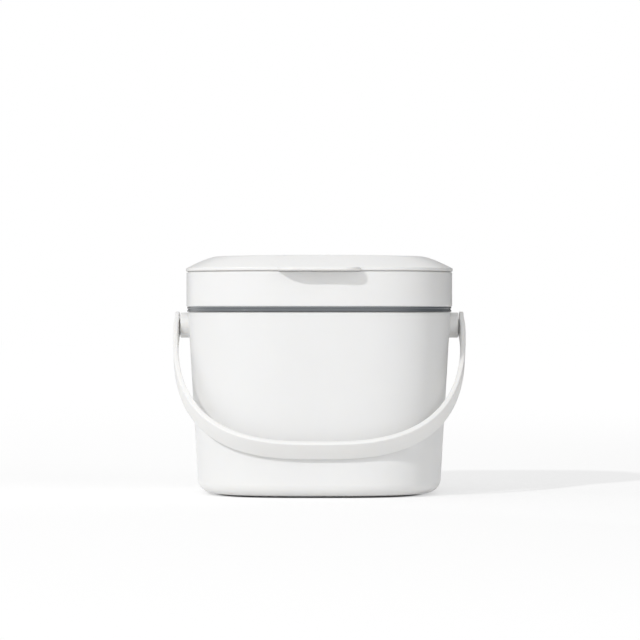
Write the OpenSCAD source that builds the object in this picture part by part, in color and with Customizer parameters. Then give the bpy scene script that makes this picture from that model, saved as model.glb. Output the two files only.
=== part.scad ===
// Compost caddy: a tapered bucket with a swinging bail handle, a collar that lifts
// out of its mouth, and a lid that is hinged to the back of the collar.
// X is the width, -Y is the front and Z is up. The origin is the centre of the foot.
// Every outline seen from above belongs to one family of rounded oblongs. An "inset"
// is how far an outline lies inside the lid's own outline, measured on both axes.

/* [Plan] */
// Width of the lid, the widest part of the body
lid_w = 183; // [165:1:205]
// Depth of the lid without its thumb tab
lid_d = 164; // [150:1:180]
// Squareness of the plan: 2 is an ellipse, a high value is nearly a rectangle
plan_power = 3; // [2.6:0.1:4]

/* [Bucket] */
// Height of the rim above the table
bucket_h = 124.3; // [110:0.1:150]
// Inset of the rim
rim_inset = 1.5; // [1.2:0.1:2]
// Wall thickness
bucket_wall = 1.5; // [1.4:0.1:2.2]
// Taper of each side, in degrees
draft = 3.3; // [2:0.1:4.5]
// Radius of the edge round the bottom
bottom_round = 14; // [8:0.5:18]
// Thickness of the floor
floor_t = 2.2; // [1.6:0.1:3]
// Height of the foot that holds the bottom off the table
foot_h = 1.2; // [0.6:0.1:2]
// Distance from the start of the bottom's edge round to the foot
foot_in = 4; // [2:0.5:10]

/* [Collar] */
// Thickness of the flange between bucket and lid
flange_t = 3.6; // [3.2:0.1:4.5]
// Inset of the flange
flange_inset = 0.9; // [0.4:0.1:1]
// Depth of the groove round the flange's edge
groove_in = 0.4; // [0.2:0.1:1.5]
// Height of the wall above the flange
neck_h = 21.2; // [19:0.1:23]
// Inset of the foot of that wall, just above the flange
neck_foot_inset = 2.8; // [2.8:0.1:3.3]
// Inset of the narrowest part of that wall
neck_inset = 5.2; // [4.6:0.1:6]
// Inset of its top edge
neck_top_inset = 4.4; // [4:0.1:4.6]
// Wall thickness
collar_wall = 1.8; // [1.4:0.1:2.2]
// Depth of the skirt that goes down inside the bucket
skirt_drop = 10.9; // [8:0.1:14]
// Gap between that skirt and the bucket
skirt_gap = 0.35; // [0.3:0.05:0.6]
// How far the snap beads on the skirt stand proud
bead_out = 0.25; // [0.1:0.05:0.25]
// Depth of the groove between the two beads
bead_groove = 0.35; // [0.1:0.05:0.6]
// Radius of the vent in the front
front_vent_r = 6; // [4:0.25:7]
// Radius of the vent in the back
back_vent_r = 6.5; // [4:0.25:8.5]

/* [Lid] */
// Height of the lid's side wall
side_h = 23.3; // [22.5:0.1:27]
// Inset of the side wall
side_inset = 0.35; // [0.2:0.05:0.5]
// Thickness of the side wall
side_wall = 2; // [1.6:0.1:2.2]
// Gap between the side wall and the lip above it
reveal = 0.75; // [0.5:0.05:1.2]
// Thickness of the lip
lip_t = 2; // [1.6:0.1:3]
// Rise of the bevel inside the lip
bevel_rise = 7.3; // [4:0.1:10]
// Width of the bevel
bevel_run = 20; // [14:0.5:28]
// Rise of the crown inside the bevel
crown_rise = 2.2; // [1:0.1:5]
// Thickness of the top
top_wall = 2; // [1.6:0.1:2.4]
// Width of the thumb tab
tab_w = 55; // [40:1:70]
// How far the tab stands out in front, also the radius of its corners
tab_out = 12; // [8:0.5:14]
// Thickness of the tab
tab_t = 2.4; // [2:0.1:3]

/* [Hinge] */
// Distance of the pin behind the lid's outline
pin_back = 8; // [7.5:0.1:9]
// Height of the pin above the flange
pin_up = 3.9; // [3.8:0.1:4.3]
// Radius of the pin
pin_r = 1.5; // [1.2:0.1:1.6]
// Running clearance round the pins and pivots
play = 0.05; // [0.02:0.01:0.09]
// Radius of the lid's knuckles
knuckle_r = 3.5; // [3.2:0.1:3.6]
// Length of each knuckle
knuckle_l = 14; // [10:1:14]
// Distance of the knuckles from the middle
knuckle_x = 16; // [16:1:20]
// Length of each clip on the collar
clip_l = 12; // [8:1:12]
// Distance of the clips from the middle
clip_x = 30; // [30:1:36]

/* [Handle] */
// Width of the strap
strap_w = 15; // [12:0.5:17]
// Thickness of the strap
strap_t = 3.4; // [3:0.1:4]
// How far the arms stand outside the lid
arm_out = 8.9; // [8.5:0.1:11]
// Distance from the pivots to the outside of the crossbar
reach = 118; // [116:0.1:125]
// Squareness of the loop
loop_power = 2.8; // [2.4:0.1:3.2]
// Depth of the pivots below the rim
pivot_drop = 9.1; // [8.9:0.1:12]
// Radius of the round ears at the pivots
ear_r = 9.3; // [8:0.1:9.5]
// Thickness of the ears
ear_t = 2.9; // [2.4:0.1:3.2]
// Radius of the bosses on the bucket
boss_r = 8.7; // [6:0.1:8.8]
// Radius of the pivots
pivot_r = 4; // [3:0.25:5]
// Length of the pivots inside the bosses
pivot_l = 5; // [3:0.5:5.5]
// Gap between the hanging crossbar and the bucket
rest_gap = 0.35; // [0.3:0.05:1]

/* [Hidden] */
$fn = 64;
plan_points = 72;
white = [0.93, 0.93, 0.92];
grey = [0.38, 0.40, 0.42];
steel = [0.70, 0.71, 0.73];

// Heights of the faces where the pieces meet
flange_top = bucket_h + flange_t;
neck_top = flange_top + neck_h;
side_top = flange_top + side_h;
lip_z = side_top + reveal;
lip_top = lip_z + lip_t;

// Inset of the bucket's outside at height z, and of the collar's skirt inside it
function wall_inset(z) = rim_inset + (bucket_h - z) * tan(draft);
skirt_inset = rim_inset + bucket_wall + skirt_gap;
function skirt_inset_at(z) = skirt_inset + (bucket_h - z) * tan(draft);

// Hinge and handle axes
pin_y = lid_d / 2 + pin_back;
pin_z = flange_top + pin_up;
pivot_z = bucket_h - pivot_drop;
arm_x = lid_w / 2 + arm_out;
ear_out = arm_x - 1;
ear_in = ear_out - ear_t;
boss_end = ear_out - max(ear_t, strap_t) - 0.4;

// Radius of the plan outline in direction a, at an inset
function plan_r(a, inset) =
    let (hx = lid_w / 2 - inset, hy = lid_d / 2 - inset)
    pow(pow(abs(cos(a)) / hx, plan_power) + pow(abs(sin(a)) / hy, plan_power), -1 / plan_power);

// The snap beads run along both sides and end on the front and back corners
bead_end = 44.5;
function bead_here(a) = abs(cos(a)) > cos(bead_end) ? 1 : 0;

// One closed ring of points from a profile point [inset, z] or [inset, z, bead]
function ring(p) = [
    for (i = [0:plan_points - 1])
        let (
            a = 360 * i / plan_points,
            bead = len(p) == 3 ? p[2] * bead_here(a) : 0,
            r = plan_r(a, p[0] - bead)
        )
        [r * cos(a), r * sin(a), p[1]]
];

// Two triangles for each cell between ring k and ring m, which have n points each
function cells(k, m, n) = [
    for (i = [0:n - 1])
        let (j = (i + 1) % n)
        each [[k * n + i, m * n + i, m * n + j], [k * n + i, m * n + j, k * n + j]]
];
function chain(count, n) = [for (k = [0:count - 2]) each cells(k, k + 1, n)];
function run_up(n) = [for (i = [0:n - 1]) i];
function run_down(first, n) = [for (i = [n - 1:-1:0]) first + i];

// A skin through the rings, closed by a flat face at each end
module skin(rings) {
    n = len(rings[0]);
    last = (len(rings) - 1) * n;
    polyhedron(
        points = [for (g = rings) each g],
        faces = concat(chain(len(rings), n), [run_up(n)], [run_down(last, n)])
    );
}

// A closed band: the profile goes up the outside and down the inside
module band(profile) {
    n = plan_points;
    count = len(profile);
    polyhedron(
        points = [for (p = profile) each ring(p)],
        faces = concat(chain(count, n), cells(count - 1, 0, n))
    );
}

// Profile points round a bottom edge: an arc between a tapered wall and a floor.
// The arc's radius is r and the floor is at z. The wall lies "inner" further in.
function edge_arc(r, z, inner, steps) =
    let (
        cz = z + r,
        ci = wall_inset(cz) + (inner + r) / cos(draft)
    )
    [for (k = [0:steps]) let (b = 90 - (90 - draft) * k / steps) [ci - r * cos(b), cz - r * sin(b)]];

// The tapered bucket: foot, edge round, wall, rim, and the same again inside
module bucket_shell() {
    outside = edge_arc(bottom_round, foot_h, 0, 6);
    inside = edge_arc(bottom_round - bucket_wall, foot_h + floor_t, bucket_wall, 5);
    foot_inset = outside[0][0] + foot_in;
    edge = 0.5;
    top_in = rim_inset + bucket_wall;
    rim = [
        [wall_inset(bucket_h - edge), bucket_h - edge],
        [rim_inset + edge * 0.3, bucket_h - edge * 0.3],
        [rim_inset + edge, bucket_h],
        [top_in - edge, bucket_h],
        [top_in - edge * 0.3, bucket_h - edge * 0.3],
        [wall_inset(bucket_h - edge) + bucket_wall, bucket_h - edge]
    ];
    down = [for (k = [len(inside) - 1:-1:0]) inside[k]];
    foot = [[foot_inset + 0.4, 0], [foot_inset, 0.4], [foot_inset, foot_h]];
    skin([for (p = concat(foot, outside, rim, down)) ring(p)]);
}

// Boss with a blind bore for one of the handle's pivots, along +X from the wall
module boss() {
    root = lid_w / 2 - rim_inset - bucket_wall + 0.35;
    chamfer = 0.6;
    bore_r = pivot_r + play;
    bore_end = ear_in - pivot_l - 0.4;
    translate([0, 0, pivot_z])
        rotate([0, 90, 0])
            rotate_extrude()
                polygon([
                    [0, root], [boss_r, root], [boss_r, boss_end - chamfer],
                    [boss_r - chamfer, boss_end], [bore_r, boss_end],
                    [bore_r, bore_end], [0, bore_end]
                ]);
}

module bucket() {
    color(white) {
        bucket_shell();
        boss();
        mirror([1, 0, 0]) boss();
    }
}

// Inset of the neck's outside at height h above the flange: a cove up to the waist,
// then a slow spread towards the top
waist_h = 0.49 * neck_h;
function neck_out(h) =
    let (up = (h - waist_h) / (neck_h - waist_h))
    h < waist_h
        ? neck_inset + (neck_foot_inset - neck_inset) * pow(1 - h / waist_h, 2)
        : neck_inset + (neck_top_inset - neck_inset) * (1 - cos(180 * up)) / 2;

// The collar's section: skirt, two beads with a groove between them, flange, neck, top
module collar_ring() {
    low = bucket_h - skirt_drop;
    lead = 0.8;
    bead_gap = 2.6;
    bead_z = bucket_h - 6.6;
    bead = [
        [-0.6, 0], [0, bead_out], [0.5, -bead_groove],
        [bead_gap - 0.5, -bead_groove], [bead_gap, bead_out], [bead_gap + 0.6, 0]
    ];
    beads = [for (b = bead) [skirt_inset_at(bead_z + b[0]), bead_z + b[0], b[1]]];
    lip = flange_t * 0.36;
    neck_low = 1.4;
    neck_high = neck_h - 0.7;
    neck = [
        for (k = [0:7])
            let (h = neck_low + (neck_high - neck_low) * pow(k / 7, 1.2))
            [neck_out(h), flange_top + h]
    ];
    inner = [
        for (k = [5:-1:2])
            let (h = (neck_h - 1.4) * k / 6)
            [neck_out(h) + collar_wall, flange_top + h]
    ];
    outside = concat(
        [[skirt_inset_at(low) + lead, low], [skirt_inset_at(low) + 0.2, low + lead]],
        beads,
        [
            [skirt_inset, bucket_h],
            [flange_inset + 0.3, bucket_h],
            [flange_inset, bucket_h + 0.3],
            [flange_inset, bucket_h + lip],
            [flange_inset + groove_in, bucket_h + lip],
            [flange_inset + groove_in, flange_top - lip],
            [flange_inset, flange_top - lip],
            [flange_inset, flange_top - 0.3],
            [flange_inset + 0.3, flange_top],
            [neck_foot_inset, flange_top]
        ],
        neck
    );
    top = [
        [neck_top_inset + 0.35, neck_top],
        [neck_top_inset + collar_wall - 0.35, neck_top],
        [neck_top_inset + collar_wall, neck_top - 0.7]
    ];
    low_in = skirt_inset_at(low) + collar_wall - 0.2;
    band(concat(outside, top, inner, [[skirt_inset + collar_wall, bucket_h], [low_in, low]]));
}

// Round vents: the front one has a countersunk edge, the back one ends just under the top
module vents() {
    front_z = flange_top + 0.547 * neck_h;
    back_z = neck_top - 1.2 - back_vent_r;
    sink = 1.7;
    front_face = lid_d / 2 - neck_inset;
    translate([0, -front_face - 6, front_z])
        rotate([-90, 0, 0])
            cylinder(h = 12, r = front_vent_r);
    translate([0, -front_face - sink, front_z])
        rotate([-90, 0, 0])
            cylinder(h = 2 * sink, r1 = front_vent_r + 2 * sink, r2 = front_vent_r);
    translate([0, lid_d / 2 - 12, back_z])
        rotate([-90, 0, 0])
            cylinder(h = 10.3, r = back_vent_r);
}

// Catch pad under the front vent: upright face, rounded top corners
module catch_pad() {
    pad_w = 16.2;
    pad_h = 4.6;
    corner = 2;
    face_y = lid_d / 2 - neck_foot_inset + 0.2;
    translate([0, -face_y, flange_top])
        rotate([-90, 0, 0])
            linear_extrude(3) {
                translate([-pad_w / 2, -pad_h + corner]) square([pad_w, pad_h - corner + 0.4]);
                translate([-pad_w / 2 + corner, -pad_h]) square([pad_w - 2 * corner, pad_h]);
                for (side = [-1, 1])
                    translate([side * (pad_w / 2 - corner), -pad_h + corner]) circle(corner);
            }
}

// Shelf behind the flange, and the two open clips on it that hold the hinge pin
module hinge_shelf() {
    back = pin_y + 4;
    half = clip_x + clip_l / 2 + 1.5;
    corner = 6;
    start = lid_d / 2 - 4.2;
    translate([0, 0, bucket_h + 0.2])
        linear_extrude(flange_t - 0.4) {
            translate([-half, start]) square([2 * half, back - corner - start]);
            translate([-half + corner, start]) square([2 * (half - corner), back - start]);
            for (side = [-1, 1])
                translate([side * (half - corner), back - corner]) circle(corner);
        }
}

// Turns a drawing of [y, z] into a solid that is centred on x
module along_x(length, x) {
    translate([x - length / 2, 0, 0])
        rotate([90, 0, 90])
            linear_extrude(length)
                children();
}

module clips() {
    clip_r = 3.6;
    slot_r = pin_r + play;
    for (side = [-1, 1])
        along_x(clip_l, side * clip_x)
            difference() {
                union() {
                    translate([pin_y, pin_z]) circle(clip_r);
                    translate([pin_y - clip_r, flange_top - 1.5]) square([2 * clip_r, pin_up + 1.5]);
                }
                translate([pin_y, pin_z]) circle(slot_r);
                translate([pin_y - slot_r, pin_z]) square([2 * slot_r, clip_r + 1]);
            }
}

module collar() {
    color(grey) {
        difference() {
            collar_ring();
            vents();
        }
        catch_pad();
        hinge_shelf();
        clips();
    }
}

// Height of the lid's top at u, the fraction of the way from its edge to its middle
function dome(u) =
    let (s = min(u * lid_w / 2 / bevel_run, 1))
    lip_top + bevel_rise * (1 - pow(1 - s, 1.35)) + crown_rise * (1 - pow(1 - u, 2));

// A ring of the top, shrunk in proportion by u and lowered by "down"
function dome_ring(u, down) = [
    for (p = ring([down, 0])) [p[0] * (1 - u), p[1] * (1 - u), dome(u) - down]
];

module lid_shell() {
    out = [0.03, 0.07, 0.11, 0.15, 0.19, 0.22, 0.4, 0.65, 0.88, 0.97];
    under = [0.88, 0.5, 0.24, 0.16, 0.08];
    step_in = side_inset + 1.2;
    plug_in = side_inset + side_wall + 0.1;
    plug_drop = 1.3;
    plug_t = 1.6;
    edge = 0.4;
    profile = [
        [plug_in + plug_t, lip_z + 0.6],
        [plug_in + plug_t, side_top - plug_drop],
        [plug_in, side_top - plug_drop],
        [plug_in, side_top],
        [step_in, side_top],
        [step_in, lip_z],
        [edge, lip_z],
        [0, lip_z + edge],
        [0, lip_top - edge]
    ];
    skin(concat(
        [for (u = under) dome_ring(u, top_wall)],
        [for (p = profile) ring(p)],
        [for (u = out) dome_ring(u, 0)]
    ));
}

// Section of the tab across its front edge: "deep" is measured back from the edge
module tab_edge(deep) {
    round = 0.9;
    translate([-deep, 0]) square([deep - round, tab_t]);
    translate([-deep, round]) square([deep, tab_t - 2 * round]);
    translate([-round, round]) circle(round, $fn = 24);
    translate([-round, tab_t - round]) circle(round, $fn = 24);
}

// Thumb tab: a bar with a rounded front edge between two rounded discs, cut off at its root
module thumb_tab() {
    corner_x = tab_w / 2 - tab_out;
    front = lid_d / 2 + tab_out;
    root = 1.6;
    translate([0, 0, lip_top - tab_t])
        intersection() {
            union() {
                for (side = [-1, 1])
                    translate([side * corner_x, -lid_d / 2, 0])
                        rotate_extrude()
                            intersection() {
                                translate([tab_out, 0]) tab_edge(tab_out + 1);
                                square([tab_out, tab_t]);
                            }
                translate([-corner_x, -front, 0])
                    rotate([90, 0, 90])
                        mirror([1, 0, 0])
                            linear_extrude(2 * corner_x)
                                tab_edge(tab_out + root);
            }
            translate([-tab_w / 2, -front, 0]) cube([tab_w, tab_out + root, tab_t]);
        }
}

module lid_cap() {
    color(white) {
        lid_shell();
        thumb_tab();
    }
}

// The lid's side wall, with its lower edge rounded
module side_ring() {
    inner = side_inset + side_wall;
    edge = 0.8;
    band([
        [inner - 0.3, flange_top],
        [side_inset + edge, flange_top],
        [side_inset + 0.25, flange_top + 0.25],
        [side_inset, flange_top + edge],
        [side_inset, side_top - 0.3],
        [side_inset + 0.3, side_top],
        [inner, side_top],
        [inner, flange_top + 0.3]
    ]);
}

// Knuckles that turn on the hinge pin, each with an arm to the side wall
module knuckles() {
    arm_start = lid_d / 2 - side_inset - side_wall / 2 - 0.2;
    for (side = [-1, 1])
        along_x(knuckle_l, side * knuckle_x)
            difference() {
                union() {
                    translate([pin_y, pin_z]) circle(knuckle_r);
                    translate([arm_start, pin_z - knuckle_r + 0.3])
                        square([pin_y - arm_start, 2 * knuckle_r - 0.3]);
                }
                translate([pin_y, pin_z]) circle(pin_r + play);
            }
}

module lid_skirt() {
    color(white) {
        side_ring();
        knuckles();
    }
}

module hinge_pin() {
    half = clip_x + clip_l / 2 + 1;
    chamfer = 0.4;
    color(steel)
        translate([0, pin_y, pin_z])
            rotate([0, 90, 0])
                rotate_extrude()
                    polygon([
                        [0, -half], [pin_r - chamfer, -half], [pin_r, -half + chamfer],
                        [pin_r, half - chamfer], [pin_r - chamfer, half], [0, half]
                    ]);
}

// Angle at which the crossbar hangs against the front wall, from straight down
inner_reach = reach - strap_t;
lean_p = inner_reach + strap_w / 2 * tan(draft);
lean_q = inner_reach * tan(draft) - strap_w / 2;
lean_c = lid_d / 2 - wall_inset(pivot_z) + rest_gap;
lean = asin(lean_c / norm([lean_p, lean_q])) - atan2(lean_q, lean_p);

// Point of the loop in its own plane, [x, distance from the pivots], in direction a.
// "inner" is how far the point lies inside the loop's outline.
function loop_point(a, inner) =
    let (
        hx = arm_x - inner,
        hr = reach - inner,
        r = pow(pow(abs(cos(a)) / hx, loop_power) + pow(sin(a) / hr, loop_power), -1 / loop_power),
        far = r * sin(a),
        tuck = (arm_x - ear_out) * pow(max(0, 1 - far / 14), 2)
    )
    [r * cos(a) - sign(cos(a)) * tuck, far];

// How much wider the strap is at a distance from the pivots: it flares into the ears
flare_l = 26;
function flare(far) =
    let (s = max(0, 1 - far / flare_l))
    1 + (2 * ear_r / strap_w - 1) * s * s * (3 - 2 * s);

// Section of the strap: [across the width, depth from the outside], edges rounded
function strap_section() =
    let (h = strap_w / 2, e = 0.9)
    [[-h, e], [-h, strap_t - e], [-h + e, strap_t], [h - e, strap_t],
     [h, strap_t - e], [h, e], [h - e, 0], [-h + e, 0]];

module strap() {
    stations = 48;
    skin([
        for (k = [0:stations])
            let (a = 180 * k / stations)
            [
                for (s = strap_section())
                    let (p = loop_point(a, s[1]))
                    [p[0], s[0] * flare(p[1]), -p[1]]
            ]
    ]);
}

// Ear with its pivot, on the +X side
module ear() {
    chamfer = 0.8;
    pivot_end = ear_in - pivot_l;
    rotate([0, 90, 0])
        rotate_extrude()
            polygon([
                [0, pivot_end], [pivot_r - 0.5, pivot_end], [pivot_r, pivot_end + 0.5],
                [pivot_r, ear_in], [ear_r - 0.4, ear_in], [ear_r, ear_in + 0.4],
                [ear_r, ear_out - chamfer], [ear_r - chamfer, ear_out], [0, ear_out]
            ]);
}

module handle() {
    color(white)
        translate([0, 0, pivot_z])
            rotate([-lean, 0, 0]) {
                strap();
                ear();
                mirror([1, 0, 0]) ear();
            }
}

bucket();
collar();
lid_cap();
lid_skirt();
hinge_pin();
handle();
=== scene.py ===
import bpy
import math
import numpy as np
from mathutils import Matrix, Vector


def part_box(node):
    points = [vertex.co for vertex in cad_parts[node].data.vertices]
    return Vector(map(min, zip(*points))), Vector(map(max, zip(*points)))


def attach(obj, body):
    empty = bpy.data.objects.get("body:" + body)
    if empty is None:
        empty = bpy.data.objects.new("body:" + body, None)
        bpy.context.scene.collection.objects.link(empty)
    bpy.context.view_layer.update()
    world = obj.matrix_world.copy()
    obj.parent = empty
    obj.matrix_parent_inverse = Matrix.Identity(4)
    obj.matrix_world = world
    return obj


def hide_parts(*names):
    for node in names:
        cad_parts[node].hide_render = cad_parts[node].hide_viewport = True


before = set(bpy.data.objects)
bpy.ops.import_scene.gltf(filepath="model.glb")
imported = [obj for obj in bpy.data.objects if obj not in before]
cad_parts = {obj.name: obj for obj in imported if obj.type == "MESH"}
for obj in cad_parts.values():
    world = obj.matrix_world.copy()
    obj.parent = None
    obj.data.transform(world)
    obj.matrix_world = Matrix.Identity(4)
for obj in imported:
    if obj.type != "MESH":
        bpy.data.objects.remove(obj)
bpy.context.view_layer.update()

# All shapes below are worked out in millimetres in the row frame and shrunk to metres
# when a mesh is made. The inset of an outline is how far it lies inside the lid's.
mm = 0.001
sharpEdge = 0.05  # radius of a corner that is left sharp
crispEdge = 0.1  # radius of a corner that looks sharp
axisGap = 0.01  # a turned shape stops this close to its axis
clearCut = 1.0  # a cutting tool runs this far past what it cuts
sharpAngle = 32  # edges that bend by more degrees aren't shaded smooth
alongX = (1, 2, 0)  # where the axes of an outline [y, z] and of its run go


def nodeBox(name):  # lowest and highest corner of a CAD node in millimetres
    low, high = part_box(name)
    return np.array(low) / mm, np.array(high) / mm


capLow, capHigh = nodeBox("lid_cap")
skirtLow, skirtHigh = nodeBox("lid_skirt")
collarLow, collarHigh = nodeBox("collar")
pinLow, pinHigh = nodeBox("hinge_pin")
bucketHigh = nodeBox("bucket")[1]
handleHigh = nodeBox("handle")[1]

plan = {
    "halfWidth": capHigh[0],
    "halfDepth": capHigh[1],
    "power": 3.0,  # 2 is an ellipse, a high value a rectangle
    "points": 360,  # round each outline
}
lidGap, lipThick = 0.75, 2.0  # the dark seam under the lid's lip, and the lip
levels = {  # heights of the faces where the pieces meet
    "rim": 124.3,
    "flangeTop": skirtLow[2],
    "sideTop": skirtHigh[2],
    "lip": skirtHigh[2] + lidGap,
    "lipTop": skirtHigh[2] + (lidGap + lipThick),
    "pivot": 115.2,
}
pin = {
    "y": (pinLow[1] + pinHigh[1]) / 2,
    "z": (pinLow[2] + pinHigh[2]) / 2,
    "end": pinHigh[0],
    "radius": 1.5,
    "play": 0.05,
    "edge": 0.4,
}
draftAngle = 3.3  # degrees that the bucket's sides lean outwards
mouthSpread = math.tan(math.radians(draftAngle))  # growth of each side per mm of height


# Points on arcs that round the corners of a line. Each corner is [u, v, radius]: the arc's
# centre lies on the bisector, and its points turn evenly from one tangent point to the other.
# An arc takes up at most the given share of the two sides that it joins.
def roundedLine(corners, steps=6, closed=False, share=0.499):
    c = np.array(corners, float)
    p, r = c[:, :2], np.maximum(c[:, 2], 1e-3)
    before, after = np.roll(p, 1, 0) - p, np.roll(p, -1, 0) - p
    lenB, lenA = np.linalg.norm(before, axis=1), np.linalg.norm(after, axis=1)
    u, v = before / lenB[:, None], after / lenA[:, None]
    half = np.arccos(np.clip((u * v).sum(1), -1, 1)) / 2
    half = np.clip(half, 1e-3, math.pi / 2 - 1e-4)
    t = np.minimum(r / np.tan(half), share * np.minimum(lenB, lenA))
    r = t * np.tan(half)
    bis = u + v
    bis /= np.maximum(np.linalg.norm(bis, axis=1), 1e-9)[:, None]
    centre = p + bis * (r / np.sin(half))[:, None]
    a, b = p + u * t[:, None] - centre, p + v * t[:, None] - centre
    turn = math.pi - 2 * half
    s = np.linspace(0, 1, steps + 1)[None, :, None]
    turn = turn[:, None, None]
    arc = (np.sin((1 - s) * turn) * a[:, None] + np.sin(s * turn) * b[:, None]) / np.sin(turn)
    line = centre[:, None] + arc
    if not closed:
        line[0], line[-1] = p[0], p[-1]
        return np.concatenate([line[0, :1], line[1:-1].reshape(-1, 2), line[-1, :1]])
    return line.reshape(-1, 2)


# Distance from the middle to the superellipse |x/hx|^p + |y/hy|^p = 1 in each direction.
def planRadius(angle, inset):
    hx, hy = plan["halfWidth"] - inset, plan["halfDepth"] - inset
    p = plan["power"]
    return (np.abs(np.cos(angle) / hx) ** p + np.abs(np.sin(angle) / hy) ** p) ** (-1 / p)


# Rings round Z, one for each row [inset, height, shrink]: the plan at that inset, drawn in
# towards the middle by the share "shrink". "push" is a function of angle and height that
# gives how much further out the plan lies.
def oblongRings(rows, push=None):
    rows = np.asarray(rows, float)
    if rows.shape[1] == 2:
        rows = np.column_stack([rows, np.zeros(len(rows))])
    angle = np.linspace(0, 2 * math.pi, plan["points"], endpoint=False)
    inset = rows[:, :1] - (0 if push is None else push(angle[None, :], rows[:, 1:2]))
    r = planRadius(angle[None, :], inset) * (1 - rows[:, 2:3])
    height = np.broadcast_to(rows[:, 1:2], r.shape)
    return np.stack([r * np.cos(angle), r * np.sin(angle), height], 2)


# Circles round a line along X, one for each row [radius, x].
def turnedRings(rows, y, z, points=96):
    rows = np.asarray(rows, float)
    angle = np.linspace(0, 2 * math.pi, points, endpoint=False)
    r = rows[:, :1]
    x = np.broadcast_to(rows[:, 1:2], (len(rows), points))
    return np.stack([x, y + r * np.cos(angle), z + r * np.sin(angle)], 2)


# Copies of a closed outline [u, v] at rows [inward offset, height]: each point moves along
# the mean of its two edges' normals.
def offsetRings(outline, rows):
    o, rows = np.asarray(outline, float), np.asarray(rows, float)
    edge = np.roll(o, -1, 0) - o
    n = np.stack([-edge[:, 1], edge[:, 0]], 1) / np.linalg.norm(edge, axis=1)[:, None]
    n = n + np.roll(n, 1, 0)
    n /= np.linalg.norm(n, axis=1)[:, None]
    flat = o[None] + n[None] * rows[:, :1, None]
    height = np.broadcast_to(rows[:, 1:2], flat.shape[:2])
    return np.dstack([flat, height])


def addToScene(thing):
    bpy.context.scene.collection.objects.link(thing)
    return thing


# A closed mesh from a grid of rings. Rows are joined by quads, each row is a loop, and the
# ends are joined to each other (tube) or closed by a flat face or by a fan to a middle point.
def meshFromRings(name, rings, tube=False, ends="flat"):
    m, n = rings.shape[:2]
    points = rings.reshape(-1, 3) * mm
    k = np.arange(m if tube else m - 1)[:, None] * n
    i = np.arange(n)[None, :]
    j = (i + 1) % n
    up = (k + n) % (m * n)
    quads = np.stack([k + i, k + j, up + j, up + i], 2).reshape(-1, 4)
    corners, sizes = [quads.ravel()], [np.full(len(quads), 4)]
    last = (m - 1) * n
    if not tube and ends == "flat":
        corners += [np.arange(n)[::-1], last + np.arange(n)]
        sizes += [np.array([n]), np.array([n])]
    if not tube and ends == "fan":
        middle = rings[[0, -1]].mean(1) * mm
        first, second = len(points), len(points) + 1
        points = np.concatenate([points, middle])
        i, j = i.ravel(), j.ravel()
        low = np.stack([j, i, np.full(n, first)], 1)
        high = np.stack([last + i, last + j, np.full(n, second)], 1)
        corners += [low.ravel(), high.ravel()]
        sizes += [np.full(2 * n, 3)]
    corners, sizes = np.concatenate(corners), np.concatenate(sizes)
    mesh = bpy.data.meshes.new(name)
    mesh.vertices.add(len(points))
    mesh.vertices.foreach_set("co", points.astype(np.float32).ravel())
    mesh.loops.add(len(corners))
    mesh.loops.foreach_set("vertex_index", corners.astype(np.int32))
    mesh.polygons.add(len(sizes))
    starts = np.concatenate([[0], np.cumsum(sizes)[:-1]])
    mesh.polygons.foreach_set("loop_start", starts.astype(np.int32))
    mesh.update(calc_edges=True)
    mesh.validate()
    if signedVolume(mesh) < 0:
        mesh.flip_normals()
    return addToScene(bpy.data.objects.new(name, mesh))


# Sum of the tetrahedra between the origin and each triangle; negative when inside out.
def signedVolume(mesh):
    mesh.calc_loop_triangles()
    co = np.zeros(len(mesh.vertices) * 3)
    mesh.vertices.foreach_get("co", co)
    tri = np.zeros(len(mesh.loop_triangles) * 3, int)
    mesh.loop_triangles.foreach_get("vertices", tri)
    a, b, c = co.reshape(-1, 3)[tri.reshape(-1, 3)].transpose(1, 0, 2)
    return (a * np.cross(b, c)).sum() / 6


def combine(piece, tools, operation):  # boolean with each tool in turn, which is then removed
    for tool in tools:
        cut = piece.modifiers.new("combine", "BOOLEAN")
        cut.operation, cut.object, cut.solver = operation, tool, "MANIFOLD"
        seen = piece.evaluated_get(bpy.context.evaluated_depsgraph_get())
        mesh = bpy.data.meshes.new_from_object(seen)
        piece.modifiers.clear()
        old, piece.data = piece.data, mesh
        bpy.data.meshes.remove(old)
        bpy.data.objects.remove(tool)
    return piece


def mirroredX(piece):  # a copy with X turned to -X and its faces pointing outwards again
    twin = piece.copy()
    twin.data = piece.data.copy()
    twin.data.transform(Matrix.Diagonal((-1, 1, 1, 1)))
    twin.data.flip_normals()
    return addToScene(twin)


# A bar with the outline [u, v] and flat ends, run from low to high. Each rim is rounded by
# rows on a quarter circle. "axes" are the axes that u, v and the run lie on.
def barAlong(name, outline, low, high, rim, axes=(0, 1, 2)):
    turn = np.linspace(0, math.pi / 2, 5)
    side = np.stack([rim * (1 - np.sin(turn)), rim * (1 - np.cos(turn))], 1)
    rows = np.concatenate([side + [0, low], (side * [1, -1])[::-1] + [0, high]])
    rings = offsetRings(outline, rows)
    placed = np.empty_like(rings)
    placed[:, :, list(axes)] = rings
    return meshFromRings(name, placed)


def barAlongX(name, outline, x, length, rim):  # a bar along X with its middle at x
    return barAlong(name, outline, x - length / 2, x + length / 2, rim, alongX)


def rodAlongX(name, rows, y, z, points):  # a solid of circles round a line along X
    return meshFromRings(name, turnedRings(rows, y, z, points))


def turnedPiece(name, line, y, z, points):  # a rod whose line [radius, x] ends on the axis
    line[[0, -1], 0] = axisGap
    return rodAlongX(name, line, y, z, points)


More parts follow.
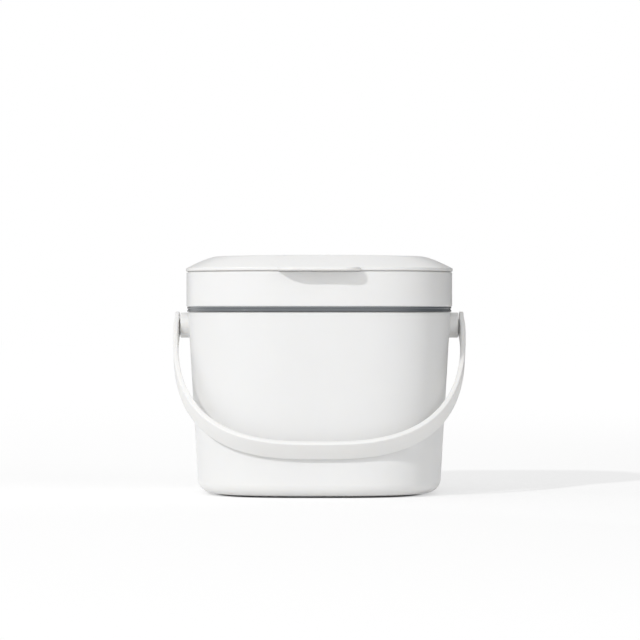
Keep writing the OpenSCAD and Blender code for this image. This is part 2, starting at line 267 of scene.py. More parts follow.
def finishPiece(piece, body, slotName, material, *nodes):
    piece.data.polygons.foreach_set("use_smooth", np.ones(len(piece.data.polygons), bool))
    piece.data.set_sharp_from_angle(angle=math.radians(sharpAngle))
    piece.data.materials.clear()
    piece.data.materials.append(material)
    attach(piece, body)
    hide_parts(*nodes)
    print("made", piece.name, len(piece.data.polygons), "faces")
    return piece


bucketShape = {
    "rimInset": 1.5,
    "wall": 1.5,
    "floor": 2.2,
    "footHeight": 1.2,
    "footInset": 25.8,
    "footEdge": 0.4,
    "footFillet": 0.5,
    "bottomRound": 14.0,
    "rimRound": 0.6,
    "middleGap": 2.0,  # the rings stop here, and a fan closes the rest
    "bossRadius": 8.7,
    "bossSink": 0.9,  # how deep in the wall the boss starts
    "bossEnd": bucketHigh[0],
    "bossEdge": 0.6,
    "boreRadius": 4.05,
    "boreEnd": 91.1,
    "boreEdge": 0.3,
}


def wallInset(z):  # of the bucket's outside, which grows in a straight line from the rim down
    return bucketShape["rimInset"] + (levels["rim"] - z) * mouthSpread


# The half section runs from the middle of the underside up the outside, over the rim and
# down the inside to the middle of the floor; its rings are the plan at each inset. The
# bosses are circles round X with a blind bore.
def makeBucket(material):
    s = bucketShape
    under, floorTop, rim = s["footHeight"], s["footHeight"] + s["floor"], levels["rim"]
    middle = plan["halfDepth"] - s["middleGap"]
    section = roundedLine([
        [middle, 0, 0],
        [s["footInset"], 0, s["footEdge"]],
        [s["footInset"], under, s["footFillet"]],
        [wallInset(under), under, s["bottomRound"]],
        [s["rimInset"], rim, s["rimRound"]],
        [s["rimInset"] + s["wall"], rim, s["rimRound"]],
        [wallInset(floorTop) + s["wall"], floorTop, s["bottomRound"] - s["wall"]],
        [middle, floorTop, 0],
    ], steps=16)
    bucket = meshFromRings("bucketShell", oblongRings(section), ends="fan")
    root = wallInset(levels["pivot"])
    root = plan["halfWidth"] - root - s["bossSink"]
    bossLine = roundedLine([
        [0, root, 0],
        [s["bossRadius"], root, sharpEdge],
        [s["bossRadius"], s["bossEnd"], s["bossEdge"]],
        [s["boreRadius"], s["bossEnd"], s["boreEdge"]],
        [s["boreRadius"], s["boreEnd"], s["boreEdge"]],
        [0, s["boreEnd"], 0],
    ])
    boss = turnedPiece("boss", bossLine, 0, levels["pivot"], points=128)
    combine(bucket, [mirroredX(boss), boss], "UNION")
    return finishPiece(bucket, "bucket", "white_plastic", material, "bucket")


collarShape = {
    "wall": 1.8,
    "flangeInset": 0.9,
    "flangeEdge": 0.3,
    "lipShare": 0.36,  # of the flange's thickness, above and below the groove
    "lipEdge": 0.2,
    "grooveIn": 0.4,
    "grooveEdge": 0.25,
    "neckFoot": 2.8,
    "neckWaist": 5.2,
    "neckTop": 4.4,
    "waistAt": 0.49,  # share of the neck's height
    "neckFrom": 0.02,  # shares of its height where its outside and its inside start
    "innerFrom": 0.31,
    "neckRows": 46,
    "innerRows": 30,
    "topEdge": 0.7,
    "topBand": 0.8,  # height of the straight band under the top
    "skirtInset": 3.35,
    "skirtTuck": 0.1,  # how much further in the skirt ends below
    "skirtLead": 0.5,
    "skirtEdge": 0.3,
    "skirtFillet": 0.02,
    "beadAt": 117.7,  # height of the lower bead
    "beadGap": 2.6,
    "beadOut": 0.25,
    "beadFoot": 0.6,  # half heights of a bead at its foot, at its crest and by the groove
    "beadCrest": 0.1,
    "beadInner": 0.5,
    "beadGroove": 0.35,
    "beadEnd": 44.5,  # degrees from the X axis
    "beadClear": 1.5,  # the fine rows stop this far from both ends of the skirt
    "beadRows": 90,
    "ventHeight": 139.5,
    "ventRadius": 6.0,
    "ventEdge": 0.3,
    "ventReach": (3.0, 8.0),  # the tools run from outside the neck's waist to inside it
    "recessRadius": 7.6,  # shallow ring round the front vent
    "recessDepth": 0.35,
    "recessEdge": 0.25,
    "recessFlare": 0.5,
    "backVentHeight": 141.4,
    "backVentRadius": 6.5,
    "padWidth": 16.2,
    "padHeight": 4.6,
    "padSink": 0.4,  # how deep in the flange the pad starts
    "padProud": 0.2,
    "padThick": 3.0,
    "padCorner": 2.0,
    "padEdge": 0.9,
    "shelfStart": 4.2,  # inside the plan's back edge
    "shelfBack": collarHigh[1],
    "shelfHalf": 37.5,
    "shelfCorner": 6.0,
    "shelfSetback": 0.2,  # from both faces of the flange
    "shelfEdge": 0.5,
    "clipAt": 30.0,
    "clipLength": 12.0,
    "clipRadius": 3.6,
    "clipSink": 1.5,  # how deep in the flange the clips start
    "clipEdge": 0.4,
}


# Inset of the neck's outside at the share t of its height: a parabola up to the waist and
# half a cosine wave from there to the top.
def neckInset(t):
    s = collarShape
    low = s["neckWaist"] + (s["neckFoot"] - s["neckWaist"]) * (1 - t / s["waistAt"]) ** 2
    rest = (t - s["waistAt"]) / (1 - s["waistAt"])
    high = s["neckWaist"] + (s["neckTop"] - s["neckWaist"]) * (1 - np.cos(math.pi * rest)) / 2
    return np.where(t < s["waistAt"], low, high)


# How far the skirt is pushed out or in at a height: two beads with a groove between them,
# with a half cosine from each mark to the next, fading at the beads' ends.
def beadPush(angle, height):
    s = collarShape
    away = np.degrees(np.arccos(np.clip(np.abs(np.cos(angle)), 0, 1)))
    along = np.clip(s["beadEnd"] - away, 0, 1)
    gap, foot, crest, inner = s["beadGap"], s["beadFoot"], s["beadCrest"], s["beadInner"]
    lower = [-foot, -crest, crest, inner]
    upper = [gap - inner, gap - crest, gap + crest, gap + foot]
    marks = s["beadAt"] + np.array(lower + upper)
    push = np.array([0, 1, 1, 0, 0, 1, 1, 0]) * s["beadOut"]
    push[[3, 4]] = -s["beadGroove"]
    step = np.interp(height, marks, np.arange(len(marks)))
    eased = np.floor(step) + (1 - np.cos(math.pi * (step % 1))) / 2
    return np.interp(eased, np.arange(len(marks)), push) * along


# The section runs up the outside of the skirt, round the grooved flange, up the neck, over
# the top and down the inside; its rings are the plan at each inset, pushed by the beads.
def collarRing():
    s = collarShape
    rim, top, neckTop, low = levels["rim"], levels["flangeTop"], collarHigh[2], collarLow[2]
    lip = (top - rim) * s["lipShare"]
    edge, groove = s["flangeInset"], s["flangeInset"] + s["grooveIn"]
    lowInset = s["skirtInset"] + (rim - low) * mouthSpread
    skirt = roundedLine([
        [lowInset + s["wall"] / 2, low, 0],
        [lowInset + s["skirtTuck"], low, s["skirtLead"]],
        [s["skirtInset"], rim, s["skirtFillet"]],
        [edge, rim, s["flangeEdge"]],
        [edge, rim + lip, s["lipEdge"]],
        [groove, rim + lip, s["grooveEdge"]],
        [groove, top - lip, s["grooveEdge"]],
        [edge, top - lip, s["lipEdge"]],
        [edge, top, s["flangeEdge"]],
        [s["neckFoot"], top, 0],
    ], steps=5)
    beadRows = np.linspace(low + s["beadClear"], rim - s["beadClear"], s["beadRows"])
    beads = np.stack([s["skirtInset"] + (rim - beadRows) * mouthSpread, beadRows], 1)
    cut = int(np.argmax(skirt[:, 1] > rim - 0.5))  # the beads' rows go in before this point
    rise = neckTop - top
    bandAt = 1 - s["topBand"] / rise
    up = np.linspace(s["neckFrom"], bandAt, s["neckRows"])
    neck = np.stack([neckInset(up), top + up * rise], 1)
    up = np.linspace(s["innerFrom"], bandAt, s["innerRows"])[::-1]
    inner = np.stack([neckInset(up) + s["wall"], top + up * rise], 1)
    outerTop, innerTop, band = s["neckTop"], s["neckTop"] + s["wall"], neckTop - s["topBand"]
    topRound = roundedLine([
        [outerTop, band, 0],
        [outerTop, neckTop, s["topEdge"]],
        [innerTop, neckTop, s["topEdge"]],
        [innerTop, band, 0],
    ])[1:-1]
    inside = np.array([
        [s["skirtInset"] + s["wall"], rim],
        [lowInset + s["wall"], low + s["skirtEdge"]],
        [lowInset + s["wall"] - s["skirtEdge"], low],
    ])
    rows = np.concatenate([skirt[:cut], beads, skirt[cut:], neck, topRound, inner, inside])
    return meshFromRings("collarRing", oblongRings(rows, beadPush), tube=True)


# Catch pad under the front vent: an upright outline [x, z] run along Y.
def catchPad():
    s = collarShape
    face = plan["halfDepth"] - s["neckFoot"] + s["padProud"]
    w, top = s["padWidth"] / 2, levels["flangeTop"]
    outline = roundedLine([
        [-w, top - s["padSink"], crispEdge],
        [w, top - s["padSink"], crispEdge],
        [w, top + s["padHeight"], s["padCorner"]],
        [-w, top + s["padHeight"], s["padCorner"]],
    ], steps=8, closed=True)
    return barAlong("pad", outline, -face, -face + s["padThick"], s["padEdge"], (0, 2, 1))


# Tools that cut the round vents in the front and the back: circles round X with the X and Y
# of their points exchanged, so that they lie round a line along Y.
def ventTools():
    s = collarShape
    face = plan["halfDepth"] - s["neckWaist"]
    outside, inside = s["ventReach"]
    wide, deep, narrow = s["recessRadius"], -face + s["recessDepth"], s["ventRadius"]
    front = roundedLine([
        [wide + s["recessFlare"], -face - outside, 0],
        [wide, deep, s["recessEdge"]],
        [narrow, deep, s["ventEdge"]],
        [narrow, -face + inside, 0],
    ], steps=5)
    back = [[s["backVentRadius"], face - inside], [s["backVentRadius"], face + outside]]
    tools = []
    for name, rows, height in (
        ("vent", front, s["ventHeight"]),
        ("backVent", back, s["backVentHeight"]),
    ):
        rings = turnedRings(rows, 0, height)
        tools.append(meshFromRings(name, rings[:, :, [1, 0, 2]]))
    return tools


def hingeShelf():  # plate behind the flange, with an outline [x, y] run along Z
    s = collarShape
    start, back, half = plan["halfDepth"] - s["shelfStart"], s["shelfBack"], s["shelfHalf"]
    low, high = levels["rim"] + s["shelfSetback"], levels["flangeTop"] - s["shelfSetback"]
    outline = roundedLine([
        [-half, start, crispEdge],
        [half, start, crispEdge],
        [half, back, s["shelfCorner"]],
        [-half, back, s["shelfCorner"]],
    ], steps=10, closed=True)
    return barAlong("hingeShelf", outline, low, high, s["shelfEdge"])


# Two clips on the shelf: a bar along X with a round top, cut by a slot that is round at the
# pin and open above it, and its mirror image.
def hingeClips():
    s = collarShape
    slot = pin["radius"] + pin["play"]
    y, z, r, foot = pin["y"], pin["z"], s["clipRadius"], levels["flangeTop"] - s["clipSink"]
    outer = roundedLine([
        [y - r, foot, crispEdge],
        [y + r, foot, crispEdge],
        [y + r, z + r, r],
        [y - r, z + r, r],
    ], steps=16, closed=True)
    mouth = roundedLine([
        [y - slot, z - slot, slot],
        [y + slot, z - slot, slot],
        [y + slot, z + r + clearCut, crispEdge],
        [y - slot, z + r + clearCut, crispEdge],
    ], steps=12, closed=True)
    clip = barAlongX("clip", outer, s["clipAt"], s["clipLength"], s["clipEdge"])
    cutLength = s["clipLength"] + 2 * clearCut
    combine(clip, [barAlongX("mouth", mouth, s["clipAt"], cutLength, crispEdge)], "DIFFERENCE")
    return [mirroredX(clip), clip]


def makeCollar(material):  # the ring, less the vents, with the pad, shelf and clips joined on
    collar = collarRing()
    pad = catchPad()
    combine(collar, ventTools(), "DIFFERENCE")
    combine(collar, [pad, hingeShelf(), *hingeClips()], "UNION")
    return finishPiece(collar, "collar", "grey_plastic", material, "collar")


skirtShape = {
    "inset": 0.35,
    "wall": 2.0,
    "wallRows": 14,
    "lowRound": 0.8,
    "lowInnerEdge": 0.3,
    "topEdge": 0.3,
    "topInnerEdge": 0.2,
    "knuckleAt": 16.0,
    "knuckleLength": 14.0,
    "knuckleRadius": 3.5,
    "knuckleSink": 0.2,  # how far inside the middle of the wall the knuckles start
    "knuckleStep": 0.3,
    "knuckleEdge": 0.4,
}


# Two knuckles that turn on the pin: an outline [y, z] with a round end, run along X and
# bored, and its mirror image.
def hingeKnuckles():
    s = skirtShape
    y, z, r = pin["y"], pin["z"], s["knuckleRadius"]
    middle, length = s["knuckleAt"], s["knuckleLength"]
    start = plan["halfDepth"] - s["inset"] - s["wall"] / 2 - s["knuckleSink"]
    outer = roundedLine([
        [start, z - r + s["knuckleStep"], crispEdge],
        [y + r, z - r, r],
        [y + r, z + r, r],
        [start, z + r, crispEdge],
    ], steps=16, closed=True)
    knuckle = barAlongX("knuckle", outer, middle, length, s["knuckleEdge"])
    bore = pin["radius"] + pin["play"]
    rows = [[bore, middle - length], [bore, middle + length]]
    combine(knuckle, [rodAlongX("bore", rows, y, z, points=48)], "DIFFERENCE")
    return [mirroredX(knuckle), knuckle]


# The wall's section is a tall loop with rounded corners, and points spaced evenly up its
# outer side; its rings are the plan at each inset.
def makeLidSkirt(material):
    s = skirtShape
    low, high = levels["flangeTop"], levels["sideTop"]
    inner = s["inset"] + s["wall"]
    line = roundedLine([
        [inner, low, s["lowInnerEdge"]],
        [s["inset"], low, s["lowRound"]],
        [s["inset"], high, s["topEdge"]],
        [inner, high, s["topInnerEdge"]],
    ], steps=7, closed=True)
    half = len(line) // 2
    first, last = line[half - 1], line[half]
    between = first + (last - first) * np.linspace(0, 1, s["wallRows"])[1:-1, None]
    rows = np.concatenate([line[:half], between, line[half:]])
    skirt = meshFromRings("lidSkirt", oblongRings(rows), tube=True)
    combine(skirt, hingeKnuckles(), "UNION")
    return finishPiece(skirt, "lid", "white_plastic", material, "lid_skirt")


capShape = {
    "bevelRise": 7.3,
    "bevelRun": 20.0,
    "bevelPower": 1.35,
    "crownRise": 2.2,
    "wall": 2.0,
    "lipRound": 0.5,
    "lipUnder": 0.35,
    "lipAim": 2.0,  # the lip's round ends towards the bevel's height at this inset
    "stepInset": 1.55,
    "stepEdge": 0.15,
    "plugInset": 2.45,
    "plugWall": 1.6,
    "plugDrop": 1.3,
    "plugStart": 1.2,  # height above the lip's underside where the plug's inside starts
    "plugInnerEdge": 0.4,
    "plugOuterEdge": 0.3,
    "underSpans": ((0.97, 0.3, 14), (0.26, 0.08, 16)),  # shares from and to, and their rows
    "topSpans": ((0.012, 0.3, 40), (0.33, 0.97, 26)),
    "tabWidth": 55.0,
    "tabOut": -capLow[1] - capHigh[1],  # also the radius of its corners
    "tabThick": 2.4,
    "tabRoot": 1.6,
    "tabEdge": 0.85,
    "tabCornerShare": 0.95,  # of its short sides, so that the corners keep their radius
}


# Height of the top at the share u of the way from its edge to its middle: a bevel that
# flattens out by a power law, plus a parabolic crown over the whole top.
def domeHeight(u):
    s = capShape
    run = np.minimum(u * plan["halfWidth"] / s["bevelRun"], 1)
    bevel = s["bevelRise"] * (1 - (1 - run) ** s["bevelPower"])
    return levels["lipTop"] + bevel + s["crownRise"] * (1 - (1 - u) ** 2)


def evenShares(spans):  # evenly spaced in each span
    return np.concatenate([np.linspace(*span) for span in spans])


def thumbTab():  # plate with an outline [x, y] and large front corners, run along Z
    s = capShape
    w, r, top = s["tabWidth"] / 2, s["tabOut"], levels["lipTop"]
    front, root = -plan["halfDepth"] - s["tabOut"], -plan["halfDepth"] + s["tabRoot"]
    outline = roundedLine([
        [-w, root, sharpEdge],
        [-w, front, r],
        [w, front, r],
        [w, root, sharpEdge],
    ], steps=24, closed=True, share=s["tabCornerShare"])
    return barAlong("thumbTab", outline, top - s["tabThick"], top, s["tabEdge"])


# Rings from the middle of the underside out to the plug, round the lip and back over the
# top. Those under and on the dome are the whole plan shrunk by a share, at the dome's height.
def makeLidCap(material):
    s = capShape
    under = evenShares(s["underSpans"])
    lining = domeHeight(under) - s["wall"]
    inner = np.column_stack([np.full(len(under), s["wall"]), lining, under])
    plug, plugIn = s["plugInset"], s["plugInset"] + s["plugWall"]
    top, lip, lipTop = levels["sideTop"], levels["lip"], levels["lipTop"]
    edge = roundedLine([
        [plugIn, lip + s["plugStart"], 0],
        [plugIn, top - s["plugDrop"], s["plugInnerEdge"]],
        [plug, top - s["plugDrop"], s["plugOuterEdge"]],
        [plug, top, crispEdge],
        [s["stepInset"], top, s["stepEdge"]],
        [s["stepInset"], lip, s["stepEdge"]],
        [0, lip, s["lipUnder"]],
        [0, lipTop, s["lipRound"]],
        [s["lipAim"], domeHeight(s["lipAim"] / plan["halfWidth"]), 0],
    ])[:-1]
    edge = np.column_stack([edge, np.zeros(len(edge))])
    over = evenShares(s["topSpans"])
    outer = np.column_stack([np.zeros(len(over)), domeHeight(over), over])
    rings = oblongRings(np.concatenate([inner, edge, outer]))
    cap = meshFromRings("lidCap", rings, ends="fan")
    combine(cap, [thumbTab()], "UNION")
    return finishPiece(cap, "lid", "white_plastic", material, "lid_cap")


def makeHingePin(material):  # circles round X, with both ends rounded
    r, x, edge = pin["radius"], pin["end"], pin["edge"]
    line = roundedLine([[0, -x, 0], [r, -x, edge], [r, x, edge], [0, x, 0]], steps=5)
    piece = turnedPiece("hingePin", line, pin["y"], pin["z"], points=48)
    return finishPiece(piece, "hinge_pin", "pin_steel", material, "hinge_pin")


handleShape = {
    "width": 15.0,
    "thick": 3.4,
    "reach": 118.0,
    "armX": handleHigh[0],
    "power": 2.8,
    "edge": 0.9,
    "stations": 260,  # round the loop
    "tuckLength": 14.0,
    "flareLength": 26.0,
    "restGap": 0.35,
    "earRadius": 9.3,
    "earOutset": 1.0,  # the ears lie this far inside the arms' outer faces
    "earThick": 2.9,
    "earEdge": 0.8,
    "earInnerEdge": 0.5,
    "pivotRadius": 4.0,
    "pivotLength": 5.0,
    "pivotEdge": 0.5,
    "pivotFillet": 0.2,
}


# The loop in its own plane is half a superellipse. A point at "depth" inside it keeps the
# direction and uses shorter axes; near the ears the loop is tucked in by a parabola.
def handleLoop(angle, depth):
    s = handleShape
    hx, hr, p = s["armX"] - depth, s["reach"] - depth, s["power"]
    r = (np.abs(np.cos(angle) / hx) ** p + (np.sin(angle) / hr) ** p) ** (-1 / p)
    far = r * np.sin(angle)
    tuck = s["earOutset"] * np.maximum(0, 1 - far / s["tuckLength"]) ** 2
    return r * np.cos(angle) - np.sign(np.cos(angle)) * tuck, far


# Angle from straight down at which the inner edge of the crossbar comes to rest on the
# tapered front wall: the line p cos(a) + q sin(a) = c solved for a.
def hangAngle():
    s = handleShape
    inner, halfWide = s["reach"] - s["thick"], s["width"] / 2
    p = inner + halfWide * mouthSpread
    q = inner * mouthSpread - halfWide
    c = plan["halfDepth"] - wallInset(levels["pivot"]) + s["restGap"]
    return math.asin(c / math.hypot(p, q)) - math.atan2(q, p)


# The strap's section is carried round the loop. Towards the ears it widens to their width
# by the smooth step 3n^2 - 2n^3 of its nearness n. The ears and pivots are circles round X,
# and the whole is turned about them to where it hangs.
def makeHandle(material):
    s = handleShape
    halfWide, t, e = s["width"] / 2, s["thick"], s["edge"]
    section = roundedLine([
        [-halfWide, 0, e],
        [halfWide, 0, e],
        [halfWide, t, e],
        [-halfWide, t, e],
    ], closed=True)
    angle = np.linspace(0, math.pi, s["stations"])[:, None]
    x, far = handleLoop(angle, section[None, :, 1])
    near = np.clip(1 - far / s["flareLength"], 0, 1)
    flare = 1 + (s["earRadius"] / halfWide - 1) * near * near * (3 - 2 * near)
    handle = meshFromRings("handle", np.stack([x, section[None, :, 0] * flare, -far], 2))
    earOut = s["armX"] - s["earOutset"]
    earIn = earOut - s["earThick"]
    end = earIn - s["pivotLength"]
    earLine = roundedLine([
        [0, end, 0],
        [s["pivotRadius"], end, s["pivotEdge"]],
        [s["pivotRadius"], earIn, s["pivotFillet"]],
        [s["earRadius"], earIn, s["earInnerEdge"]],
        [s["earRadius"], earOut, s["earEdge"]],
        [0, earOut, 0],
    ])
    ear = turnedPiece("ear", earLine, 0, 0, points=160)
    combine(handle, [mirroredX(ear), ear], "UNION")
    turn = Matrix.Rotation(-hangAngle(), 4, "X")
    handle.data.transform(Matrix.Translation((0, 0, levels["pivot"] * mm)) @ turn)
    return finishPiece(handle, "handle", "white_plastic", material, "handle")


def addNode(tree, kind, inputs=None, **settings):  # each input gets a link or a value
    node = tree.nodes.new(kind)
    for key, value in settings.items():
        setattr(node, key, value)
    for key, source in (inputs or {}).items():
        if isinstance(source, bpy.types.NodeSocket):
            tree.links.new(source, node.inputs[key])
        else:
            node.inputs[key].default_value = source
    return node


def mathNode(tree, operation, *sources):
    inputs = dict(enumerate(sources))
    return addNode(tree, "ShaderNodeMath", inputs, operation=operation).outputs[0]


# A straight line from "low" at the value "start" to "high" at "end", and level beyond them.
def ramp(tree, value, start, end, low=0.0, high=1.0):
    inputs = {"Value": value, "From Min": start, "From Max": end, "To Min": low, "To Max": high}
    return addNode(tree, "ShaderNodeMapRange", inputs).outputs["Result"]


def noise(tree, place, scale, detail=2.0, roughness=0.5):
    inputs = {"Vector": place, "Scale": scale, "Detail": detail, "Roughness": roughness}
    return addNode(tree, "ShaderNodeTexNoise", inputs).outputs["Fac"]


def mixColours(tree, share, first, second):  # the second colour where the share is 1
    inputs = {0: share, 6: first, 7: second}
    return addNode(tree, "ShaderNodeMix", inputs, data_type="RGBA").outputs[2]


def newGroup(name, inputs, outputs):  # a place and named numbers go in, named numbers come out
    group = bpy.data.node_groups.new(name, "ShaderNodeTree")
    group.interface.new_socket("Vector", in_out="INPUT", socket_type="NodeSocketVector")
    for label, value in inputs.items():
        socket = group.interface.new_socket(label, in_out="INPUT", socket_type="NodeSocketFloat")
        socket.default_value = value
    for label in outputs:
        group.interface.new_socket(label, in_out="OUTPUT", socket_type="NodeSocketFloat")
    given, out = group.nodes.new("NodeGroupInput"), group.nodes.new("NodeGroupOutput")
    return group, given.outputs, out.inputs


wear = {
    "scuffTurns": ((0.3, 0.2, 0.4), (1.1, 0.7, -0.5), (-0.6, 1.3, 0.9)),
    "scuffStretch": (1.0, 28.0, 3.0),
    "scuffLevels": (0.64, 0.72),  # noise levels at which a scratch starts and is full
    "patchScale": 18.0,
    "patchLevels": (0.42, 0.68),
    "rubScale": 90.0,
    "rubLevels": (0.53, 0.62),  # of the bend, where 0.5 is flat
    "seamShadePeak": 1.6,  # over 1, so that the middle of a seam is evenly dark
    "inwardLevels": (-0.02, -0.005),
    "dustScale": 420.0,
    "dustLevels": (0.5, 0.72),
    "dustFacing": (0.55, 1.0),  # of the normal's upward part
}


def makeMouldGroup():  # fine spark-eroded grain and slow sink waves of a moulding
    inputs = {"Grain Scale": 1800.0, "Wave Scale": 26.0, "Wave Share": 0.5}
    group, given, out = newGroup("mouldTexture", inputs, ("Height", "Tone"))
    grain = noise(group, given["Vector"], given["Grain Scale"], 3.0, 0.55)
    wave = noise(group, given["Vector"], given["Wave Scale"], 2.0, 0.4)
    mixed = addNode(group, "ShaderNodeMix", {0: given["Wave Share"], 2: grain, 3: wave})
    group.links.new(mixed.outputs[0], out["Height"])
    group.links.new(wave, out["Tone"])
    return group


def maskGroup(name, pattern, inputs):  # puts out what "pattern" builds, times the Amount
    group, given, out = newGroup(name, inputs, ("Mask",))
    mask = mathNode(group, "MULTIPLY", pattern(group, given), given["Amount"])
    group.links.new(mask, out["Mask"])
    return group


def scuffPattern(tree, given):  # hair-fine scratches in three directions, in loose patches
    lines = []
    for turn in wear["scuffTurns"]:
        inputs = {"Vector": given["Vector"], "Rotation": turn, "Scale": wear["scuffStretch"]}
        turned = addNode(tree, "ShaderNodeMapping", inputs).outputs["Vector"]
        hair = noise(tree, turned, given["Scale"], 4.0, 0.7)
        lines.append(ramp(tree, hair, *wear["scuffLevels"]))
    every = mathNode(tree, "MAXIMUM", mathNode(tree, "MAXIMUM", lines[0], lines[1]), lines[2])
    patches = ramp(tree, noise(tree, given["Vector"], wear["patchScale"]), *wear["patchLevels"])
    return mathNode(tree, "MULTIPLY", every, patches)


def rubPattern(tree, given):  # rubbed edges: where the surface bends outwards, broken by noise
    bend = addNode(tree, "ShaderNodeNewGeometry").outputs["Pointiness"]
    broken = noise(tree, given["Vector"], wear["rubScale"], 3.0)
    return mathNode(tree, "MULTIPLY", ramp(tree, bend, *wear["rubLevels"]), broken)


# Painted shade in a level seam: 1 at its height, falling to 0 over the reach above and below,
# and only where the face doesn't look in towards the middle (normal times position below 0).
def seamShadePattern(tree, given):
    height = addNode(tree, "ShaderNodeSeparateXYZ", {0: given["Vector"]}).outputs["Z"]
    away = mathNode(tree, "ABSOLUTE", mathNode(tree, "SUBTRACT", height, given["Level"]))
    near = ramp(tree, away, 0.0, given["Reach"], wear["seamShadePeak"], 0.0)
    level = addNode(tree, "ShaderNodeVectorMath", {0: given["Vector"], 1: (1.0, 1.0, 0.0)},
                    operation="MULTIPLY").outputs["Vector"]
    normal = addNode(tree, "ShaderNodeTexCoord").outputs["Normal"]
    facing = addNode(tree, "ShaderNodeVectorMath", {0: level, 1: normal},
                     operation="DOT_PRODUCT").outputs["Value"]
    outer = ramp(tree, facing, *wear["inwardLevels"])
    return mathNode(tree, "MULTIPLY", mathNode(tree, "MINIMUM", near, 1.0), outer)


def dustPattern(tree, given):  # a trace of dust on faces that look up
    normal = addNode(tree, "ShaderNodeNewGeometry").outputs["Normal"]
    upward = addNode(tree, "ShaderNodeSeparateXYZ", {0: normal}).outputs["Z"]
    specks = noise(tree, given["Vector"], wear["dustScale"], 5.0, 0.7)
    lying = ramp(tree, upward, *wear["dustFacing"])
    return mathNode(tree, "MULTIPLY", lying, ramp(tree, specks, *wear["dustLevels"]))


groups = {
    "mould": makeMouldGroup(),
    "scuffs": maskGroup("handlingScuffs", scuffPattern, {"Scale": 60.0, "Amount": 0.5}),
    "edges": maskGroup("rubbedEdges", rubPattern, {"Amount": 0.5}),
    "dust": maskGroup("settledDust", dustPattern, {"Amount": 0.2}),
    "seam": maskGroup("paintedSeamShade", seamShadePattern, {"Level": 0.1, "Reach": 0.001, "Amount": 0.5}),
}

whiteGloss = {
    "name": "whiteGloss",
    "colour": (0.86, 0.858, 0.85, 1),
    "shade": (0.842, 0.838, 0.828, 1),  # the other end of the slow change in tone
    "worn": (0.80, 0.795, 0.785, 1),
    "dustColour": (0.74, 0.72, 0.69, 1),
    # painted shade in the seam under the lid's lip: the colour it darkens to, how strongly, and
    # where
    "seamShadeColour": (0.62, 0.60, 0.57, 1),
    "seamShadeAmount": 0.3,
    "seamLevel": levels["lip"],
    "seamReach": 0.8,
    "roughness": 0.33,
    "roughSpread": 0.06,
    "toneLevels": (0.3, 0.7),  # noise levels of the least and the greatest roughness
    "scuffRough": 0.22,
    "scuffHeight": -0.35,
    "grainScale": 1500.0,
    "waveShare": 0.35,
    "bump": 0.05,
    "bumpDistance": 0.0004,
    "scuffs": 0.5,
    "edges": 0.4,
    "dust": 0.15,
    "ior": 1.5,
    "subsurface": 0.2,
    "scatter": (1.0, 0.9, 0.75),
    "depth": 0.004,
    "coat": 0.0,
    "coatRough": 0.06,
}
whiteSatin = {
    **whiteGloss,
    "name": "whiteSatin",
    "roughness": 0.38,
    "roughSpread": 0.08,
    "grainScale": 2200.0,
    "waveShare": 0.2,
    "bump": 0.08,
}
greyGloss = {
    **whiteGloss,
    "name": "greyGloss",
    "colour": (0.130, 0.144, 0.156, 1),
    "shade": (0.116, 0.129, 0.141, 1),
    "worn": (0.27, 0.285, 0.30, 1),
    "dustColour": (0.42, 0.41, 0.40, 1),
    # painted shadow just under the flange: a near-black band in the colour
    "seamShadeColour": (0.02, 0.02, 0.022, 1),
    "seamShadeAmount": 0.95,
    "seamLevel": levels["rim"] - 0.3,  # just under the flange
    "seamReach": 1.3,
    "roughness": 0.46,
    "scuffRough": 0.25,
    "bump": 0.04,
    "scuffs": 0.6,
    "subsurface": 0.0,
    "coat": 1.0,
}


def newMaterial(name):  # a material, its tree and its shader
    material = bpy.data.materials.new(name)
    material.use_nodes = True
    return material, material.node_tree, material.node_tree.nodes["Principled BSDF"]


def addBump(tree, shader, s, height):
    inputs = {"Strength": s["bump"], "Distance": s["bumpDistance"], "Height": height}
    bump = addNode(tree, "ShaderNodeBump", inputs)
    tree.links.new(bump.outputs["Normal"], shader.inputs["Normal"])


